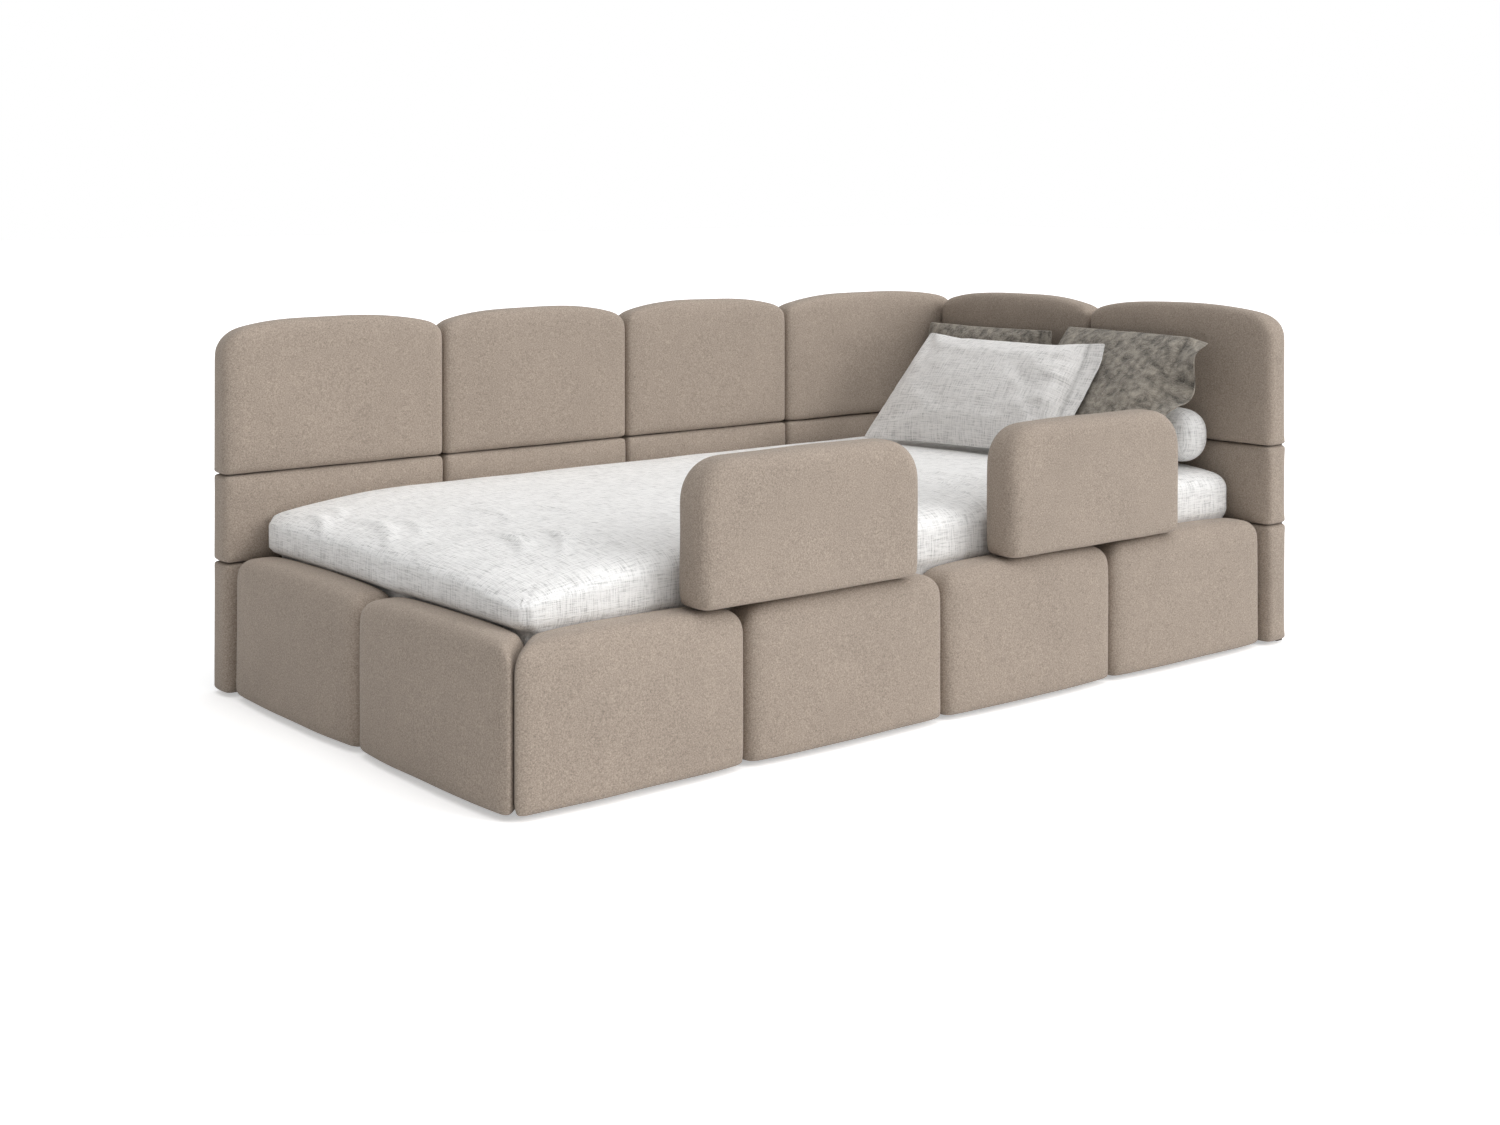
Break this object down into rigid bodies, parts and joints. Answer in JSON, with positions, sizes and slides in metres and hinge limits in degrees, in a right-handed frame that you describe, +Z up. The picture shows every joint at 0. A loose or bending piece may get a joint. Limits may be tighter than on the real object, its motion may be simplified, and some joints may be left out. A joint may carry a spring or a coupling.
{
  "type": "toddler bed",
  "caption": "Corner toddler bed upholstered in taupe velour, with arched pad walls at back and head, low pad rails, lift-out side guards, slats, mattress and pillows.",
  "frame": {"origin": "on the floor under the middle of the bed's bounding box", "axes": "+X towards the head wall, +Y towards the back wall, +Z up"},
  "size_m": [1.773, 0.971, 0.6456],
  "materials": {
    "taupe_velour": "short-pile velour, matte with a soft sheen",
    "lined_plywood": "plywood under a thin lining cloth",
    "pine": "planed, unvarnished",
    "black_steel": "black powder coat",
    "ticking": "woven mattress cover",
    "white_linen": "slubby white linen",
    "grey_linen": "slubby light-grey linen",
    "crushed_velvet": "crushed velvet, dark taupe-grey"
  },
  "bodies": {
    "root": {"front_pad_1": "taupe_velour", "front_pad_2": "taupe_velour", "front_pad_3": "taupe_velour", "front_pad_4": "taupe_velour", "foot_pad_1": "taupe_velour", "foot_pad_2": "taupe_velour", "back_low_pad_1": "taupe_velour", "back_low_pad_2": "taupe_velour", "back_low_pad_3": "taupe_velour", "back_low_pad_4": "taupe_velour", "head_low_pad_1": "taupe_velour", "head_low_pad_2": "taupe_velour", "back_middle_pad_1": "taupe_velour", "back_middle_pad_2": "taupe_velour", "back_middle_pad_3": "taupe_velour", "back_middle_pad_4": "taupe_velour", "head_middle_pad_1": "taupe_velour", "head_middle_pad_2": "taupe_velour", "back_top_pad_1": "taupe_velour", "back_top_pad_2": "taupe_velour", "back_top_pad_3": "taupe_velour", "back_top_pad_4": "taupe_velour", "head_top_pad_1": "taupe_velour", "head_top_pad_2": "taupe_velour", "front_rail_board": "lined_plywood", "foot_rail_board": "lined_plywood", "back_wall_board": "lined_plywood", "head_wall_board": "lined_plywood", "front_ledge": "pine", "back_ledge": "pine", "slat_01": "pine", "slat_02": "pine", "slat_03": "pine", "slat_04": "pine", "slat_05": "pine", "slat_06": "pine", "slat_07": "pine", "slat_08": "pine", "slat_09": "pine", "slat_10": "pine", "corner_bracket": "black_steel", "guard_socket_1a": "black_steel", "guard_socket_1b": "black_steel", "guard_socket_2a": "black_steel", "guard_socket_2b": "black_steel"},
    "guard_1": {"guard_pad_1": "taupe_velour", "guard_core_1": "lined_plywood", "guard_tongue_1a": "black_steel", "guard_tongue_1b": "black_steel"},
    "guard_2": {"guard_pad_2": "taupe_velour", "guard_core_2": "lined_plywood", "guard_tongue_2a": "black_steel", "guard_tongue_2b": "black_steel"},
    "mattress_body": {"mattress": "ticking", "fitted_sheet": "white_linen"},
    "lumbar": {"lumbar_pillow": "white_linen"},
    "velvet_right": {"velvet_pillow_right": "crushed_velvet"},
    "velvet_left": {"velvet_pillow_left": "crushed_velvet"},
    "linen": {"linen_pillow": "grey_linen"}
  },
  "joints": [
    {"name": "guard_1_lift", "type": "slide", "parent": "root", "child": "guard_1", "axis": [0, 0, 1], "range_m": [0, 0.15]},
    {"name": "guard_2_lift", "type": "slide", "parent": "root", "child": "guard_2", "axis": [0, 0, 1], "range_m": [0, 0.15]},
    {"name": "mattress_lift", "type": "slide", "parent": "root", "child": "mattress_body", "axis": [0, 0, 1], "range_m": [0, 0.47]},
    {"name": "lumbar_lift", "type": "slide", "parent": "mattress_body", "child": "lumbar", "axis": [0, 0, 1], "range_m": [0, 0.32]},
    {"name": "velvet_right_lift", "type": "slide", "parent": "lumbar", "child": "velvet_right", "axis": [0, 0, 1], "range_m": [0, 0.32]},
    {"name": "velvet_left_lift", "type": "slide", "parent": "velvet_right", "child": "velvet_left", "axis": [0, 0, 1], "range_m": [0, 0.32]},
    {"name": "linen_lift", "type": "slide", "parent": "velvet_left", "child": "linen", "axis": [0, 0, 1], "range_m": [0, 0.32]}
  ]
}
